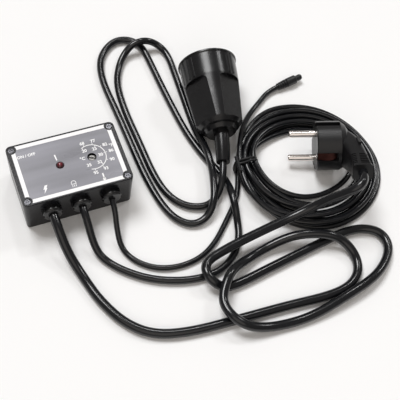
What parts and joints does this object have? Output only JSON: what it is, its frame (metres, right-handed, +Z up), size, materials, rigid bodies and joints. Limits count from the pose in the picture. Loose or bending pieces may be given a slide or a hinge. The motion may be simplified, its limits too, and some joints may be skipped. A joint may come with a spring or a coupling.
{
  "type": "dimmer thermostat",
  "caption": "Plug-in temperature controller: a small control box with a set-point dial and lamp, an earthed plug, a trailing socket and a coiled sensor lead",
  "frame": {"origin": "Centre of the control box's underside, at the level of the surface it rests on.", "axes": "+Z up, +X along the box's long side to the right as seen from the leads' side, -Y towards the side where the leads leave."},
  "size_m": [0.2568, 0.2612, 0.0471],
  "materials": {
    "case_plastic": "matt",
    "label_film": "satin",
    "zinc_steel": "bright",
    "board_laminate": "satin",
    "red_lens": "polished",
    "black_plastic": "satin",
    "tinned_wire": "bright",
    "blue_plastic": "satin",
    "carbon_film": "matt",
    "brass": "bright",
    "green_plastic": "satin",
    "core_sheath": "satin",
    "ferrite": "matt",
    "copper_wire": "enamelled",
    "aluminium_can": "satin",
    "chip_black": "matt",
    "clear_glass": "clear",
    "resistor_body": "satin",
    "gland_rubber": "satin",
    "cord_sheath": "satin",
    "plug_moulding": "satin",
    "nickel_plate": "bright",
    "socket_moulding": "satin",
    "insert_plastic": "matt"
  },
  "bodies": {
    "case": {"base_shell": "case_plastic", "lid": "case_plastic", "lid_label": "label_film", "lid_screws": "zinc_steel", "circuit_board": "board_laminate", "board_screws": "zinc_steel", "indicator_lamp": "red_lens", "lamp_spacer": "black_plastic", "lamp_legs": "tinned_wire", "potentiometer_base": "blue_plastic", "resistance_track": "carbon_film", "potentiometer_cover": "blue_plastic", "terminal_blocks": "green_plastic", "terminal_screws": "zinc_steel", "lead_cores": "core_sheath", "choke_core": "ferrite", "choke_winding": "copper_wire", "film_capacitor": "blue_plastic", "smoothing_capacitor": "aluminium_can", "control_chip": "chip_black", "fuse_tube": "clear_glass", "fuse_caps": "tinned_wire", "fuse_clips": "brass", "heat_sink": "aluminium_can", "triac": "chip_black", "triac_screw": "zinc_steel", "small_resistors": "resistor_body", "gland_mains": "gland_rubber", "gland_socket": "gland_rubber", "gland_probe": "gland_rubber", "mains_lead": "cord_sheath", "plug_body": "plug_moulding", "plug_pins": "nickel_plate", "plug_earth_strips": "nickel_plate", "socket_lead": "cord_sheath", "socket_relief": "socket_moulding", "socket_housing": "socket_moulding", "socket_insert": "insert_plastic", "socket_contacts": "brass", "socket_earth_springs": "nickel_plate", "probe_lead_near": "cord_sheath", "probe_coil": "cord_sheath", "probe_lead_far": "cord_sheath", "probe_sleeve": "black_plastic", "probe_tip": "black_plastic", "probe_bead": "carbon_film", "coil_tie": "black_plastic"},
    "spindle": {"dial_spindle": "black_plastic", "wiper_disc": "brass"}
  },
  "joints": [
    {"name": "set_point_dial", "type": "hinge", "parent": "case", "child": "spindle", "pos_m": [0.0156, 0, 0.0225], "axis": [0, 0, 1], "range_deg": [-140, 140]}
  ]
}
